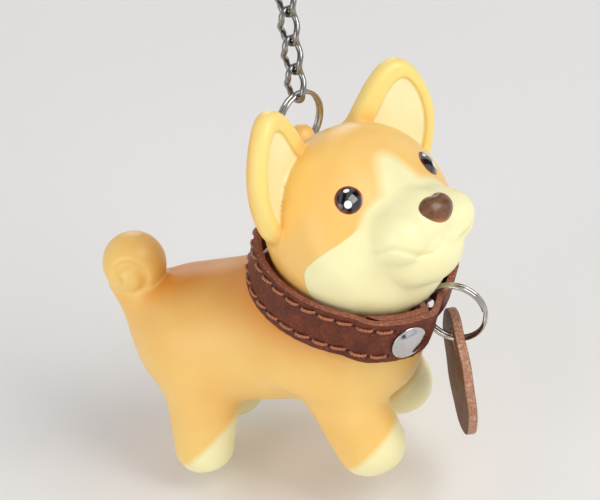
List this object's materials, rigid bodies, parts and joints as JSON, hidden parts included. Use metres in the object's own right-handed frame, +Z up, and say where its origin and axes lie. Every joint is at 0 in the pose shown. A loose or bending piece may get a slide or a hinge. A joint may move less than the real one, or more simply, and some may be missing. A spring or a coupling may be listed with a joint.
{
  "type": "puppy keychain",
  "caption": "Jointed vinyl puppy charm with turning head, leather collar, ring and round tag, hung from a twisted link chain and a split key ring.",
  "frame": {"origin": "centre of the split key ring's hole, which is where the keychain is held", "axes": "+Z up along the hanging chain, +X the way the puppy's body faces, +Y the puppy's left"},
  "size_m": [0.0636, 0.0367, 0.1317],
  "materials": {
    "vinyl": "soft satin vinyl, apricot with cream painted face, ears and toes",
    "eye_black": "high gloss dome",
    "nose_brown": "glossy dark brown paint",
    "peg_plastic": "moulded",
    "strap_leather": "dark red-brown leather, raw rust-coloured cut edges",
    "tag_leather": "red-brown leather disc with raw edge",
    "thread": "twisted two-ply waxed thread",
    "rivet_nickel": "polished nickel",
    "small_ring_steel": "polished nickel-plated wire",
    "chain_steel": "nickel-plated steel wire",
    "key_ring_steel": "nickel-plated flat wire"
  },
  "bodies": {
    "key_ring": {"key_ring": "key_ring_steel"},
    "upper_ring": {"upper_ring": "small_ring_steel"},
    "chain_link_7": {"chain_link_7": "chain_steel"},
    "chain_link_6": {"chain_link_6": "chain_steel"},
    "chain_link_5": {"chain_link_5": "chain_steel"},
    "chain_link_4": {"chain_link_4": "chain_steel"},
    "chain_link_3": {"chain_link_3": "chain_steel"},
    "chain_link_2": {"chain_link_2": "chain_steel"},
    "chain_link_1": {"chain_link_1": "chain_steel"},
    "head_ring": {"head_ring": "small_ring_steel"},
    "head": {"head_shell": "vinyl", "eye_right": "eye_black", "eye_left": "eye_black", "nose": "nose_brown"},
    "body": {"body_shell": "vinyl", "neck_peg": "peg_plastic"},
    "collar": {"collar_strap": "strap_leather", "upper_stitching": "thread", "lower_stitching": "thread", "rivet_caps": "rivet_nickel", "rivet_posts": "rivet_nickel"},
    "collar_ring": {"collar_ring": "small_ring_steel"},
    "leather_tag": {"leather_tag": "tag_leather"}
  },
  "joints": [
    {"name": "upper_ring_swing", "type": "hinge", "parent": "key_ring", "child": "upper_ring", "pos_m": [0, 0, -0.01098], "axis": [-0.8988, 0.4384, 0], "range_deg": [-30, 30]},
    {"name": "link_7_swing", "type": "hinge", "parent": "upper_ring", "child": "chain_link_7", "pos_m": [0, 0, -0.01925], "axis": [0.4384, 0.8988, 0], "range_deg": [-35, 35]},
    {"name": "link_6_swing", "type": "hinge", "parent": "chain_link_7", "child": "chain_link_6", "pos_m": [0, 0, -0.0253], "axis": [0.8988, -0.4384, 0], "range_deg": [-35, 35]},
    {"name": "link_5_swing", "type": "hinge", "parent": "chain_link_6", "child": "chain_link_5", "pos_m": [0, 0, -0.02935], "axis": [-0.4384, -0.8988, 0], "range_deg": [-35, 35]},
    {"name": "link_4_swing", "type": "hinge", "parent": "chain_link_5", "child": "chain_link_4", "pos_m": [0, 0, -0.0354], "axis": [-0.8988, 0.4384, 0], "range_deg": [-35, 35]},
    {"name": "link_3_swing", "type": "hinge", "parent": "chain_link_4", "child": "chain_link_3", "pos_m": [0, 0, -0.03945], "axis": [0.4384, 0.8988, 0], "range_deg": [-35, 35]},
    {"name": "link_2_swing", "type": "hinge", "parent": "chain_link_3", "child": "chain_link_2", "pos_m": [0, 0, -0.0455], "axis": [0.8988, -0.4384, 0], "range_deg": [-35, 35]},
    {"name": "link_1_swing", "type": "hinge", "parent": "chain_link_2", "child": "chain_link_1", "pos_m": [0, 0, -0.04955], "axis": [-0.4384, -0.8988, 0], "range_deg": [-35, 35]},
    {"name": "head_ring_swing", "type": "hinge", "parent": "chain_link_1", "child": "head_ring", "pos_m": [0, 0, -0.0556], "axis": [-0.8988, 0.4384, 0], "range_deg": [-35, 35]},
    {"name": "head_swing", "type": "hinge", "parent": "head_ring", "child": "head", "pos_m": [0, 0, -0.06375], "axis": [0.4384, 0.8988, 0], "range_deg": [-25, 40]},
    {"name": "neck_turn", "type": "hinge", "parent": "head", "child": "body", "pos_m": [0.00946, -0.0071, -0.07847], "axis": [0.2924, 0, 0.9563], "continuous": true},
    {"name": "collar_turn", "type": "hinge", "parent": "body", "child": "collar", "pos_m": [0.00946, -0.0071, -0.07847], "axis": [0.2924, 0, 0.9563], "range_deg": [-30, 30]},
    {"name": "collar_ring_swing", "type": "hinge", "parent": "collar", "child": "collar_ring", "pos_m": [0.0205, -0.0071, -0.08666], "axis": [0.2924, 0, 0.9563], "range_deg": [-17, 5]},
    {"name": "tag_swing", "type": "hinge", "parent": "collar_ring", "child": "leather_tag", "pos_m": [0.02485, -0.0071, -0.09294], "axis": [1, 0, 0], "range_deg": [-30, 6]}
  ]
}
